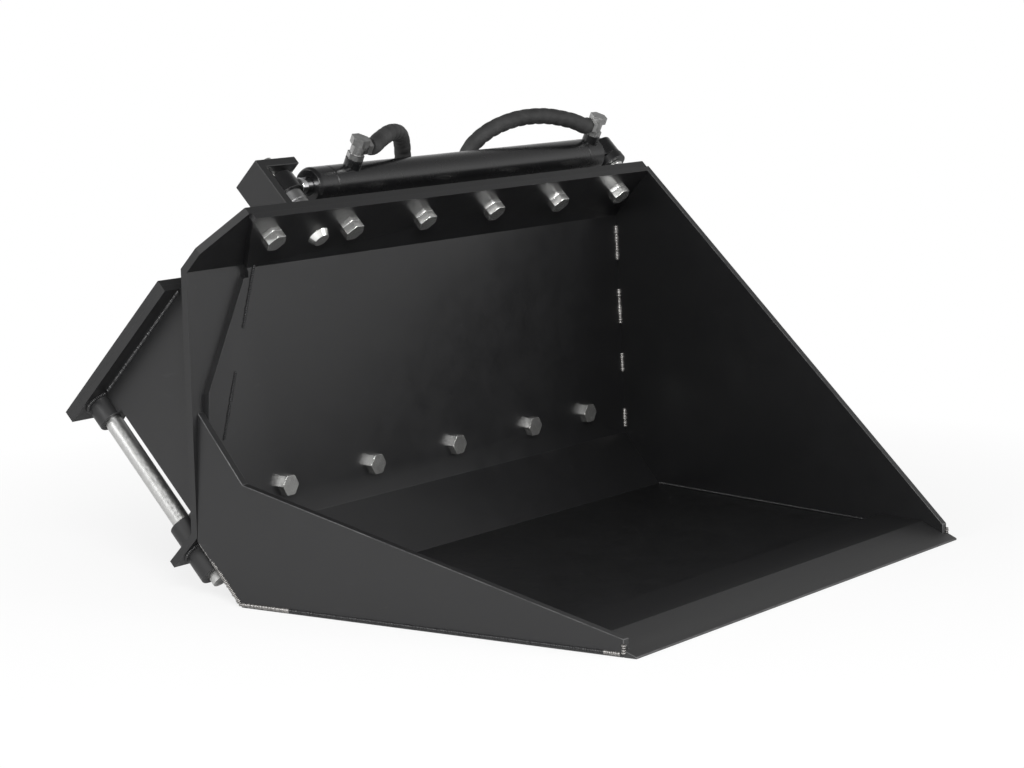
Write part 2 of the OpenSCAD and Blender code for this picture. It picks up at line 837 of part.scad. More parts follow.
// Threaded end of a hose, pointing down behind the barrel
module hose_end(p) {
    sleeve_h = 22;
    nut_len = 14;
    stud_h = 16;
    nut_share = 1.3;
    stud_share = 0.8;
    translate(p) mirror([0, 0, 1]) union() {
        cylinder(h = sleeve_h, r = hose_r);
        translate([0, 0, sleeve_h]) cylinder(h = nut_len, r = hose_r * nut_share, $fn = 6);
        translate([0, 0, sleeve_h + nut_len]) cylinder(h = stud_h, r = hose_r * stud_share);
    }
}

module rod_hose_end() {
    color([0.66, 0.66, 0.66]) hose_end(rod_hose[len(rod_hose) - 1]);
}

module base_hose_end() {
    color([0.66, 0.66, 0.66]) hose_end(base_hose[len(base_hose) - 1]);
}

placed() bucket_shell();
placed() right_side_plate();
placed() left_side_plate();
placed() cutting_edge();
placed() upper_bolts();
placed() upper_thin_nuts();
placed() upper_nuts();
placed() lower_bolts();
placed() lower_nuts();
placed() tilt_plate();
placed() pivot_boss();
placed() rod_bracket();
placed() rod_pin_nut();
placed() rod_pin_end();
placed() loader_plate();
placed() frame_plate();
placed() left_gusset();
placed() middle_gussets();
placed() right_gusset();
placed() front_bar();
placed() front_bush();
placed() rear_bush();
placed() pivot_pin();
placed() cylinder_bracket();
placed() barrel_pin();
placed() cylinder_tube();
placed() cylinder_gland();
placed() base_cap();
placed() cylinder_rod();
placed() piston();
placed() rod_eye();
placed() rod_pin();
placed() rod_spacers();
placed() port_bosses();
placed() rod_port_fitting();
placed() base_port_fitting();
placed() rod_port_hose();
placed() base_port_hose();
placed() rod_hose_end();
placed() base_hose_end();
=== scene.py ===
"""Looks of a side tilting loader bucket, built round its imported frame."""
import json
import math

import bmesh
import bpy
from mathutils import Matrix, Vector


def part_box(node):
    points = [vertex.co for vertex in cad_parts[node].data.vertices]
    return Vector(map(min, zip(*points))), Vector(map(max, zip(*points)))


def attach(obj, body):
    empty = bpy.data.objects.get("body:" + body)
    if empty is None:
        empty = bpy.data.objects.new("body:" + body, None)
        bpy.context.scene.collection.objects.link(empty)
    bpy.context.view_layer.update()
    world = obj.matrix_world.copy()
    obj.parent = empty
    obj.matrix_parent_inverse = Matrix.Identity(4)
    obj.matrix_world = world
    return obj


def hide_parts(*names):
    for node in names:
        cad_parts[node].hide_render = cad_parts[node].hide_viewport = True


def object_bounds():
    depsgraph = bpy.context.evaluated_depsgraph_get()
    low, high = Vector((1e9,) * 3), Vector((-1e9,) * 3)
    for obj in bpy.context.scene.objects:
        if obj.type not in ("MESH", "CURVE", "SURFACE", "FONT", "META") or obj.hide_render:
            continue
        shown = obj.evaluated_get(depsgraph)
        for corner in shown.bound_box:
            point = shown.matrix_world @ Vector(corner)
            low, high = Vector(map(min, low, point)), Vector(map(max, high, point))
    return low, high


bl_info = {
    "name": "Tilt Bucket Looks",
    "version": (1, 0, 0),
    "blender": (4, 5, 0),
    "location": "3D View > Sidebar > Tilt Bucket",
    "description": "Builds the painted, bolted and welded look of a side tilting bucket",
    "category": "Object",
}

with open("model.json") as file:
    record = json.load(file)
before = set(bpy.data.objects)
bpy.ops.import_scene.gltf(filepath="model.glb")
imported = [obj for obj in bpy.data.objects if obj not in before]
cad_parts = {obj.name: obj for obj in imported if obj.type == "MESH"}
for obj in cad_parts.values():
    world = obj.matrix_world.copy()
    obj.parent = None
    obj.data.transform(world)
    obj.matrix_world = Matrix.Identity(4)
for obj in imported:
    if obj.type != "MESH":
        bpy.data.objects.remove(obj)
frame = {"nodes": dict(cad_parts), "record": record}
CAD_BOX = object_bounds()
RECORD = frame["record"]
BODY_OF = {n: b for b, ns in RECORD["behaviour"]["bodies"].items() for n in ns}

# Shares of the slanted axes that run along and across the tilt axis
SLANT = math.sqrt(0.5)
# Move of the bucket's back from the middle of the object, along Y
BACK_Y = 0.22282
# Edges sharper than this angle, in degrees, are rounded and shaded as edges
EDGE_ANGLE = 32.0


def slanted(x, v, w):
    """Point given across (x), up the slanted plates (v) and along the tilt axis (w)."""
    return Vector((x, (w - v) * SLANT + BACK_Y, (w + v) * SLANT))


def upright(x, y, z):
    """Point given from the bucket's back at floor height."""
    return Vector((x, y + BACK_Y, z))


class PaintSettings(bpy.types.PropertyGroup):
    """Colours and gloss of the paint and the bare metals."""
    paint: bpy.props.FloatVectorProperty(
        name="Paint", description="Colour of the satin black paint", subtype="COLOR", size=3,
        default=(0.0075, 0.0075, 0.008), min=0.0, max=1.0)
    # Edge colour: every rounded plate edge is lighter, partly paint worn thin and partly a painted
    # highlight where the edges catch light
    rubbed_and_highlit: bpy.props.FloatVectorProperty(
        name="Rubbed and highlit edge", description="Colour of the plate edges, partly paint worn thin and partly a painted highlight",
        subtype="COLOR", size=3, default=(0.11, 0.11, 0.11), min=0.0, max=1.0)
    zinc: bpy.props.FloatVectorProperty(
        name="Zinc", description="Colour of the plated bolts and nuts", subtype="COLOR", size=3,
        default=(0.78, 0.78, 0.76), min=0.0, max=1.0)
    weld: bpy.props.FloatVectorProperty(
        name="Weld", description="Colour of the bare weld metal", subtype="COLOR", size=3,
        default=(0.34, 0.33, 0.32), min=0.0, max=1.0)
    gloss: bpy.props.FloatProperty(
        name="Paint roughness", description="Roughness of the paint", subtype="FACTOR",
        default=0.38, min=0.05, max=1.0)


class EdgeSettings(bpy.types.PropertyGroup):
    """Sizes of the rounded edges."""
    plate: bpy.props.FloatProperty(
        name="Plate edge", description="Rounding of cut plate edges", subtype="DISTANCE",
        unit="LENGTH", default=0.0011, min=0.0001, max=0.004)
    turned: bpy.props.FloatProperty(
        name="Turned edge", description="Chamfer of turned parts", subtype="DISTANCE",
        unit="LENGTH", default=0.0016, min=0.0001, max=0.004)
    hexagon: bpy.props.FloatProperty(
        name="Hexagon edge", description="Rounding of bolt heads and nuts", subtype="DISTANCE",
        unit="LENGTH", default=0.0006, min=0.0001, max=0.002)


class WeldSettings(bpy.types.PropertyGroup):
    """Sizes of the weld beads."""
    bead: bpy.props.FloatProperty(
        name="Bead", description="Half width of a weld bead", subtype="DISTANCE", unit="LENGTH",
        default=0.0034, min=0.001, max=0.01)
    step: bpy.props.FloatProperty(
        name="Ripple step", description="Distance between two ripples of a bead",
        subtype="DISTANCE", unit="LENGTH", default=0.0026, min=0.001, max=0.01)


class HoseSettings(bpy.types.PropertyGroup):
    """Sizes of the hoses."""
    radius: bpy.props.FloatProperty(
        name="Hose radius", description="Outer radius of both hoses", subtype="DISTANCE",
        unit="LENGTH", default=0.0137, min=0.005, max=0.018)
    rib: bpy.props.FloatProperty(
        name="Rib pitch", description="Distance between two folds of the hose cover",
        subtype="DISTANCE", unit="LENGTH", default=0.019, min=0.004, max=0.04)


class StageSettings(bpy.types.PropertyGroup):
    """Lamp powers."""
    key: bpy.props.FloatProperty(
        name="Key lamp", description="Power of the main lamp", subtype="POWER", unit="POWER",
        default=135.0, min=0.0, max=1000.0)
    fill: bpy.props.FloatProperty(
        name="Fill lamp", description="Power of the fill lamp", subtype="POWER", unit="POWER",
        default=40.0, min=0.0, max=1000.0)


def settings():
    """All property groups of the scene."""
    scene = bpy.context.scene
    return scene.tb_paint, scene.tb_edges, scene.tb_welds, scene.tb_hoses, scene.tb_stage


# Materials

def wire(tree, node_type, inputs=None, **props):
    """Adds a node, sets its properties, and feeds its inputs with values or sockets."""
    node = tree.nodes.new(node_type)
    for key, value in props.items():
        setattr(node, key, value)
    for key, value in (inputs or {}).items():
        if isinstance(value, bpy.types.NodeSocket):
            tree.links.new(value, node.inputs[key])
        else:
            node.inputs[key].default_value = value
    return node


def noise(tree, coords, scale, detail=2.0, rough=0.5, stretch=None):
    """Factor of a noise texture on object coordinates, stretched where asked."""
    if stretch:
        mapping = wire(tree, "ShaderNodeMapping", {"Vector": coords, "Scale": stretch})
        coords = mapping.outputs["Vector"]
    return wire(tree, "ShaderNodeTexNoise", {
        "Vector": coords, "Scale": scale, "Detail": detail, "Roughness": rough}).outputs["Fac"]


def ranged(tree, value, low, high, to_low, to_high):
    """Maps a value from one range to another, clamped."""
    return wire(tree, "ShaderNodeMapRange", {
        "Value": value, "From Min": low, "From Max": high,
        "To Min": to_low, "To Max": to_high}).outputs["Result"]


def reckoned(tree, operation, first, second):
    """Result of a sum, a product or another operation on two values."""
    return wire(tree, "ShaderNodeMath", {0: first, 1: second}, operation=operation).outputs["Value"]


def mixed(tree, factor, colour_a, colour_b):
    """Mixes two colours."""
    node = tree.nodes.new("ShaderNodeMix")
    node.data_type = "RGBA"
    for place, value in ((0, factor), (6, colour_a), (7, colour_b)):
        target = node.inputs[place]
        if isinstance(value, bpy.types.NodeSocket):
            tree.links.new(value, target)
        elif isinstance(value, float):
            target.default_value = value
        else:
            target.default_value = (*value, 1.0)
    return node.outputs[2]


def bumped(tree, *layers):
    """Chains bumps, each a (height, strength, distance)."""
    normal = None
    for height, strength, distance in layers:
        feeds = {"Height": height, "Strength": strength, "Distance": distance}
        if normal is not None:
            feeds["Normal"] = normal
        normal = wire(tree, "ShaderNodeBump", feeds).outputs["Normal"]
    return normal


def new_material(name):
    """Empty material, its tree, its object coordinates and its shader."""
    material = bpy.data.materials.new(name)
    material.use_nodes = True
    tree = material.node_tree
    tree.nodes.clear()
    coords = tree.nodes.new("ShaderNodeTexCoord").outputs["Object"]
    shader = tree.nodes.new("ShaderNodeBsdfPrincipled")
    output = tree.nodes.new("ShaderNodeOutputMaterial")
    tree.links.new(shader.outputs["BSDF"], output.inputs["Surface"])
    return material, tree, coords, shader


def scaled(colour, share):
    """Colour times a share."""
    return tuple(min(1.0, c * share) for c in colour)


# Paint: the most dust and scuffs, how much lighter they are, the scuffs' stretch and the coat
DUST_SHARE = 0.35
DUST_LIFT = 1.8
SCUFF_SHARE = 0.3
SCUFF_LIFT = 4.0
SCUFF_STRETCH = (1.0, 0.14, 1.0)
COAT_WEIGHT = 0.08
COAT_ROUGHNESS = 0.2


def paint_material(name, colour, roughness, dust=1.0):
    """Satin paint with an orange peel, slight waves of the sheet, faint dust and fine scuffs."""
    material, tree, coords, shader = new_material(name)
    cloud = noise(tree, coords, 3.0, 6.0, 0.55)
    scuff = noise(tree, coords, 90.0, 3.0, 0.6, SCUFF_STRETCH)
    dusty = ranged(tree, cloud, 0.4, 0.8, 0.0, DUST_SHARE * dust)
    scuffed = ranged(tree, scuff, 0.68, 0.76, 0.0, SCUFF_SHARE * dust)
    base = mixed(tree, dusty, colour, scaled(colour, DUST_LIFT))
    base = mixed(tree, scuffed, base, scaled(colour, SCUFF_LIFT))
    tree.links.new(base, shader.inputs["Base Color"])
    smear = noise(tree, coords, 22.0, 5.0, 0.6)
    rough = ranged(tree, smear, 0.3, 0.7, roughness - 0.04, roughness + 0.05)
    tree.links.new(rough, shader.inputs["Roughness"])
    normal = bumped(
        tree,
        (noise(tree, coords, 4.0, 1.0), 0.10, 0.004),
        (noise(tree, coords, 900.0, 2.0), 0.10, 0.0003))
    tree.links.new(normal, shader.inputs["Normal"])
    shader.inputs["Coat Weight"].default_value = COAT_WEIGHT
    shader.inputs["Coat Roughness"].default_value = COAT_ROUGHNESS
    return material


def rubbed_and_highlit_material(name, colour, paint):
    """Edge finish lighter than the paint on every rounded edge, as a painted highlight, with
    patches where the paint is worn thin so that grey metal shows.
    """
    material, tree, coords, shader = new_material(name)
    # Even the weakest patch lifts the edge above the paint as a painted highlight; the full patches
    # are paint worn thin to metal
    patches = ranged(tree, noise(tree, coords, 34.0, 5.0, 0.65), 0.38, 0.62, 0.15, 1.0)
    tree.links.new(mixed(tree, patches, scaled(paint, 2.5), colour), shader.inputs["Base Color"])
    tree.links.new(ranged(tree, patches, 0.0, 1.0, 0.0, 0.55), shader.inputs["Metallic"])
    tree.links.new(
        bumped(tree, (noise(tree, coords, 700.0, 3.0), 0.15, 0.0003)), shader.inputs["Normal"])
    shader.inputs["Roughness"].default_value = 0.42
    return material


# Worn cutting edge: where wear starts and is full behind the tip, its colour, its streaks' stretch
WEAR_START = 0.075
WEAR_FULL = 0.015
WORN_COLOUR = (0.024, 0.024, 0.024)
STREAK_STRETCH = (0.06, 1.0, 1.0)


def worn_edge_material(name, colour, roughness):
    """Cutting edge paint, lighter and scratched lengthwise towards the tip."""
    material, tree, coords, shader = new_material(name)
    low = CAD_BOX[0].y
    across = wire(tree, "ShaderNodeSeparateXYZ", {"Vector": coords}).outputs["Y"]
    near_tip = ranged(tree, across, low + WEAR_START, low + WEAR_FULL, 0.0, 1.0)
    streaks = noise(tree, coords, 60.0, 6.0, 0.65, STREAK_STRETCH)
    worn = reckoned(tree, "MULTIPLY", near_tip, ranged(tree, streaks, 0.3, 0.7, 0.45, 1.0))
    tree.links.new(mixed(tree, worn, colour, WORN_COLOUR), shader.inputs["Base Color"])
    rough = ranged(tree, worn, 0.0, 1.0, roughness, roughness + 0.14)
    tree.links.new(rough, shader.inputs["Roughness"])
    normal = bumped(tree, (streaks, 0.12, 0.0006), (noise(tree, coords, 800.0, 2.0), 0.1, 0.0003))
    tree.links.new(normal, shader.inputs["Normal"])
    return material


def metal_material(name, colour, roughness, spread, grain, stain, metallic=1.0):
    """Bare or plated metal with stains, grain and uneven gloss."""
    material, tree, coords, shader = new_material(name)
    stains = ranged(tree, noise(tree, coords, 45.0, 5.0, 0.65), 0.35, 0.7, 0.0, stain)
    tree.links.new(mixed(tree, stains, colour, scaled(colour, 0.55)), shader.inputs["Base Color"])
    fine = noise(tree, coords, grain, 4.0, 0.6)
    rough = ranged(tree, fine, 0.3, 0.7, roughness - spread, roughness + spread)
    tree.links.new(rough, shader.inputs["Roughness"])
    tree.links.new(bumped(tree, (fine, 0.07, 0.0003)), shader.inputs["Normal"])
    shader.inputs["Metallic"].default_value = metallic
    return material


def rubber_material(name, colour):
    """Matte hose cover with a fine weave and dust."""
    material, tree, coords, shader = new_material(name)
    dust = ranged(tree, noise(tree, coords, 40.0, 5.0, 0.6), 0.4, 0.75, 0.0, 0.8)
    tree.links.new(mixed(tree, dust, colour, scaled(colour, 3.0)), shader.inputs["Base Color"])
    weave = wire(tree, "ShaderNodeTexVoronoi", {"Vector": coords, "Scale": 620.0})
    normal = bumped(
        tree, (weave.outputs["Distance"], 0.35, 0.0005), (noise(tree, coords, 60.0), 0.2, 0.001))
    tree.links.new(normal, shader.inputs["Normal"])
    shader.inputs["Roughness"].default_value = 0.72
    return material


MATERIALS = {}


def make_materials():
    """Makes all finishes, by name; a metal's numbers are those that metal_material lists."""
    paint, _edges, _welds, _hoses, _stage = settings()
    black = tuple(paint.paint)
    MATERIALS.update({
        "plate paint": paint_material("plate_paint", black, paint.gloss),
        "frame paint": paint_material("frame_paint", scaled(black, 0.8), paint.gloss + 0.05, 1.2),
        "barrel paint": paint_material("barrel_paint", scaled(black, 0.8), paint.gloss - 0.12, 0.8),
        # Edge finishes, lighter than the paint: partly worn paint and partly a painted highlight;
        # the soft one is dimmer, for the frame
        "rubbed_and_highlit": rubbed_and_highlit_material("rubbed_edge", tuple(paint.rubbed_and_highlit), black),
        "soft_rubbed_and_highlit": rubbed_and_highlit_material("soft_rubbed_edge", scaled(paint.rubbed_and_highlit, 0.4), black),
        "worn edge": worn_edge_material("worn_cutting_edge", black, paint.gloss),
        "zinc": metal_material("bright_zinc", tuple(paint.zinc), 0.19, 0.05, 90.0, 0.25, 0.92),
        "pin": metal_material("ground_pin", (0.60, 0.60, 0.59), 0.36, 0.08, 220.0, 0.25),
        "ring": metal_material("turned_ring", (0.36, 0.36, 0.36), 0.4, 0.08, 400.0, 0.4),
        "chrome": metal_material("rod_chrome", (0.72, 0.72, 0.73), 0.10, 0.03, 500.0, 0.05),
        "steel": metal_material("piston_steel", (0.42, 0.42, 0.42), 0.4, 0.08, 300.0, 0.3),
        "fitting": metal_material("fitting_plate", (0.40, 0.40, 0.395), 0.38, 0.12, 240.0, 0.85),
        "weld": metal_material("bare_weld", tuple(paint.weld), 0.42, 0.14, 300.0, 0.7),
        "painted weld": paint_material("painted_weld", scaled(black, 1.4), paint.gloss),
        "hose": rubber_material("hose_cover", (0.012, 0.012, 0.012)),
    })


# Meshes

# Points closer than this are one point, and faces within this angle in degrees are one face
SAME_POINT = 1e-6
FLAT_ANGLE = 0.2


def add_object(name, mesh):
    """Links a new object for a mesh."""
    piece = bpy.data.objects.new(name, mesh)
    bpy.context.scene.collection.objects.link(piece)
    return piece


def settled(piece):
    """Turns a piece's evaluated shape into its plain mesh and drops its modifiers."""
    depsgraph = bpy.context.evaluated_depsgraph_get()
    depsgraph.update()
    mesh = bpy.data.meshes.new_from_object(piece.evaluated_get(depsgraph), depsgraph=depsgraph)
    old = piece.data
    piece.modifiers.clear()
    piece.data = mesh
    mesh.name = piece.name
    if old.users == 0:
        bpy.data.meshes.remove(old)
    return piece


def smooth(mesh, degrees=EDGE_ANGLE):
    """Smooth shading with sharp edges above an angle."""
    mesh.polygons.foreach_set("use_smooth", [True] * len(mesh.polygons))
    mesh.set_sharp_from_angle(angle=math.radians(degrees))


def fitted(piece, body):
    """Puts a finished piece on its body."""
    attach(piece, body)
    return piece


def softened(node, width, face, edge=None, segments=2, crease=EDGE_ANGLE):
    """Replaces a node by a copy whose edges are rounded, with their own finish where asked."""
    source = frame["nodes"][node]
    work = bmesh.new()
    work.from_mesh(source.data)
    bmesh.ops.remove_doubles(work, verts=work.verts, dist=SAME_POINT)
    bmesh.ops.dissolve_limit(
        work, angle_limit=math.radians(FLAT_ANGLE), verts=work.verts, edges=work.edges)
    bmesh.ops.recalc_face_normals(work, faces=work.faces)
    mesh = bpy.data.meshes.new(node + "_finished")
    work.to_mesh(mesh)
    work.free()
    mesh.materials.clear()
    mesh.materials.append(MATERIALS[face])
    mesh.materials.append(MATERIALS[edge or face])
    mesh.polygons.foreach_set("material_index", [0] * len(mesh.polygons))
    smooth(mesh, crease)
    piece = add_object(node + "_finished", mesh)
    bevel = piece.modifiers.new("rounding", "BEVEL")
    bevel.width = width
    bevel.segments = segments
    bevel.limit_method = "ANGLE"
    bevel.angle_limit = math.radians(EDGE_ANGLE)
    bevel.use_clamp_overlap = True
    bevel.harden_normals = True
    # The rounded edges take the second slot; where it holds an edge finish, its lighter colour is a
    # painted highlight
    bevel.material = 1
    settled(piece)
    fitted(piece, BODY_OF[node])
    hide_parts(node)
    return piece


def line_mesh(name, runs):
    """Mesh of open polylines, each a list of points."""
    mesh = bpy.data.meshes.new(name)
    points, edges = [], []
    for run in runs:
        start = len(points)
        points.extend(run)
        edges.extend((start + i, start + i + 1) for i in range(len(run) - 1))
    mesh.from_pydata(points, edges, [])
    return mesh


def socket(tree, name, kind, direction="INPUT"):
    """Adds a socket to a node tree's interface."""
    return tree.interface.new_socket(name=name, in_out=direction, socket_type=kind)


def set_input(modifier, name, value):
    """Sets a modifier's input by its socket's identifier."""
    for item in modifier.node_group.interface.items_tree:
        if item.item_type == "SOCKET" and item.in_out == "INPUT" and item.name == name:
            modifier[item.identifier] = value
            return
    raise RuntimeError("the tree has no input named " + name)


# Weld ripples: their smallest and largest share of the bead's width, their squash along the bead,
# their segments and rings, and the shading angle
RIPPLE_LEAST = 0.82
RIPPLE_MOST = 1.18
RIPPLE_SQUASH = 0.55
RIPPLE_SEGMENTS = 12
RIPPLE_RINGS = 8
BEAD_CREASE = 60.0


def bead_tree():
    """Geometry nodes: overlapping ripples along every line, as a weld bead."""
    tree = bpy.data.node_groups.new("weld_bead", "GeometryNodeTree")
    socket(tree, "Geometry", "NodeSocketGeometry")
    socket(tree, "Bead", "NodeSocketFloat")
    socket(tree, "Step", "NodeSocketFloat")
    socket(tree, "Seed", "NodeSocketInt")
    socket(tree, "Finish", "NodeSocketMaterial")
    socket(tree, "Geometry", "NodeSocketGeometry", "OUTPUT")
    enter = tree.nodes.new("NodeGroupInput")
    leave = tree.nodes.new("NodeGroupOutput")
    curve = wire(tree, "GeometryNodeMeshToCurve", {"Mesh": enter.outputs["Geometry"]})
    spaced = wire(tree, "GeometryNodeResampleCurve", {
        "Curve": curve.outputs["Curve"], "Length": enter.outputs["Step"]}, mode="LENGTH")
    tangent = tree.nodes.new("GeometryNodeInputTangent")
    turned = wire(tree, "FunctionNodeAlignRotationToVector", {
        "Vector": tangent.outputs["Tangent"]}, axis="Z")
    chance = wire(tree, "FunctionNodeRandomValue", {
        2: RIPPLE_LEAST, 3: RIPPLE_MOST, "Seed": enter.outputs["Seed"]}, data_type="FLOAT")
    ripple = wire(tree, "GeometryNodeMeshUVSphere", {
        "Segments": RIPPLE_SEGMENTS, "Rings": RIPPLE_RINGS, "Radius": enter.outputs["Bead"]})
    flat = wire(tree, "GeometryNodeTransform", {
        "Geometry": ripple.outputs["Mesh"], "Scale": (1.0, 1.0, RIPPLE_SQUASH)})
    placed = wire(tree, "GeometryNodeInstanceOnPoints", {
        "Points": spaced.outputs["Curve"], "Instance": flat.outputs["Geometry"],
        "Rotation": turned.outputs["Rotation"], "Scale": chance.outputs[1]})
    real = wire(tree, "GeometryNodeRealizeInstances", {"Geometry": placed.outputs["Instances"]})
    done = wire(tree, "GeometryNodeSetMaterial", {
        "Geometry": real.outputs["Geometry"], "Material": enter.outputs["Finish"]})
    tree.links.new(done.outputs["Geometry"], leave.inputs["Geometry"])
    return tree


def grown(name, runs, tree, body, slot, **inputs):
    """Piece that a node tree grows along lines, as a plain mesh on a body."""
    piece = add_object(name, line_mesh(name, runs))
    modifier = piece.modifiers.new("growth", "NODES")
    modifier.node_group = tree
    for key, value in inputs.items():
        set_input(modifier, key, value)
    piece.data.update()
    settled(piece)
    if not piece.data.polygons:
        raise RuntimeError(name + " came out empty")
    smooth(piece.data, BEAD_CREASE)
    return fitted(piece, body)


# Crease angle that keeps the cutting edge's bevel crisp, the roundings of the thick and the stacked
# plates as shares of the plate rounding, and the pivot pin's chamfer as a share of the turned edge
TIP_CREASE = 12.0
THICK_SHARE = 1.3
STACK_SHARE = 2.2
PIN_SHARE = 1.6


class TB_OT_plates(bpy.types.Operator):
    """Finish the plates of the bucket, the tilt plate and the fixed frame"""
    bl_idname = "tilt_bucket.plates"
    bl_label = "Plates"

    def execute(self, context):
        """Rounds and paints every plate."""
        _paint, edges, _welds, _hoses, _stage = settings()
        for node in ("bucket_shell", "right_side_plate", "left_side_plate"):
            softened(node, edges.plate, "plate paint", "rubbed_and_highlit")
        softened("cutting_edge", edges.plate, "worn edge", "rubbed_and_highlit", crease=TIP_CREASE)
        for node in ("tilt_plate", "rod_bracket", "cylinder_bracket"):
            softened(node, edges.plate * THICK_SHARE, "frame paint", "soft_rubbed_and_highlit")
        for node in ("loader_plate", "frame_plate"):
            softened(node, edges.plate * STACK_SHARE, "frame paint", "soft_rubbed_and_highlit")
        for node in ("left_gusset", "middle_gussets", "right_gusset", "front_bar"):
            softened(node, edges.plate, "frame paint", "soft_rubbed_and_highlit")
        return {"FINISHED"}


class TB_OT_fasteners(bpy.types.Operator):
    """Finish the bolts, nuts and the threads that stand past the nuts"""
    bl_idname = "tilt_bucket.fasteners"
    bl_label = "Fasteners"

    def execute(self, context):
        """Rounds and plates the fasteners."""
        _paint, edges, _welds, _hoses, _stage = settings()
        for node in (
                "upper_bolts", "upper_thin_nuts", "upper_nuts", "lower_bolts", "lower_nuts",
                "rod_pin_nut", "rod_pin_end"):
            softened(node, edges.hexagon, "zinc")
        return {"FINISHED"}


class TB_OT_pivot(bpy.types.Operator):
    """Finish the pivot pin, its boss and its bushes"""
    bl_idname = "tilt_bucket.pivot"
    bl_label = "Pivot"

    def execute(self, context):
        """Chamfers the turned parts of the pivot."""
        _paint, edges, _welds, _hoses, _stage = settings()
        softened("pivot_pin", edges.turned * PIN_SHARE, "pin", segments=3)
        for node in ("pivot_boss", "front_bush", "rear_bush"):
            softened(node, edges.turned, "frame paint", "soft_rubbed_and_highlit")
        return {"FINISHED"}


class TB_OT_cylinder(bpy.types.Operator):
    """Finish the hydraulic cylinder and its pins"""
    bl_idname = "tilt_bucket.cylinder"
    bl_label = "Cylinder"

    def execute(self, context):
        """Chamfers the cylinder's parts."""
        _paint, edges, _welds, _hoses, _stage = settings()
        for node in ("cylinder_tube", "cylinder_gland", "base_cap", "port_bosses"):
            softened(node, edges.turned, "barrel paint")
        softened("rod_eye", edges.turned, "barrel paint", "soft_rubbed_and_highlit")
        softened("cylinder_rod", edges.turned, "chrome")
        softened("piston", edges.turned, "steel")
        softened("rod_pin", edges.hexagon, "zinc")
        softened("barrel_pin", edges.turned, "zinc")
        softened("rod_spacers", edges.hexagon, "ring")
        return {"FINISHED"}


class TB_OT_fittings(bpy.types.Operator):
    """Finish the hose fittings and the hoses' ends"""
    bl_idname = "tilt_bucket.fittings"
    bl_label = "Fittings"

    def execute(self, context):
        """Rounds and plates the fittings."""
        _paint, edges, _welds, _hoses, _stage = settings()
        for node in ("rod_port_fitting", "base_port_fitting", "rod_hose_end", "base_hose_end"):
            softened(node, edges.hexagon, "fitting")
        return {"FINISHED"}


# Routes of the hoses, as steps from their starts in millimetres, as in the part's source
ROD_HOSE = (
    (0, 0, 0), (10, 0, 0), (32, 6, 8), (76, 22, 16), (122, 44, 10), (154, 66, -14), (167, 78, -48),
    (170, 82, -74), (170, 82, -86))
BASE_HOSE = (
    (0, 0, 0), (-10, 0, 0), (-36, 7, 10), (-86, 24, 20), (-140, 42, 18), (-190, 60, 2),
    (-224, 74, -24), (-238, 80, -54), (-240, 82, -74), (-240, 82, -86))
MM = 0.001
# Length of a hose mesh's rings along it, its sides, its shading angle and its deepest fold
HOSE_STEP = 0.0022
HOSE_SIDES = 28
HOSE_CREASE = 55.0
FOLD_DEPTH = 0.13
# Length at each end over which the folds fade in, in radii
CALM_RADII = 2.5
# Depth share of the folds away from the underside, and the slope past which a run has no underside
# and the share that stands in for it there
FOLD_REST = 0.35
STEEP = 0.8
STEEP_UNDER = 0.3


def hose_line(start, steps, cuts=8):
    """Smooth curve through the points of a hose route."""
    points = [start + Vector(s) * MM for s in steps]
    last = len(points) - 1
    line = []
    for i in range(last):
        a, b, c, d = points[max(i - 1, 0)], points[i], points[i + 1], points[min(i + 2, last)]
        for k in range(cuts):
            t = k / cuts
            line.append(
                b + (c - a) * t / 2 + (a - b * 2.5 + c * 2 - d / 2) * t * t
                + ((b - c) * 1.5 + (d - a) / 2) * t ** 3)
    line.append(points[last])
    return line


def even_line(line, step):
    """Points of a line at even distances."""
    run = [0.0]
    for p, q in zip(line, line[1:]):
        run.append(run[-1] + (q - p).length)
    count = max(2, round(run[-1] / step))
    out, k = [], 0
    for i in range(count + 1):
        want = run[-1] * i / count
        while k < len(run) - 2 and run[k + 1] < want:
            k += 1
        share = (want - run[k]) / max(run[k + 1] - run[k], 1e-9)
        out.append(line[k].lerp(line[k + 1], share))
    return out, run[-1]


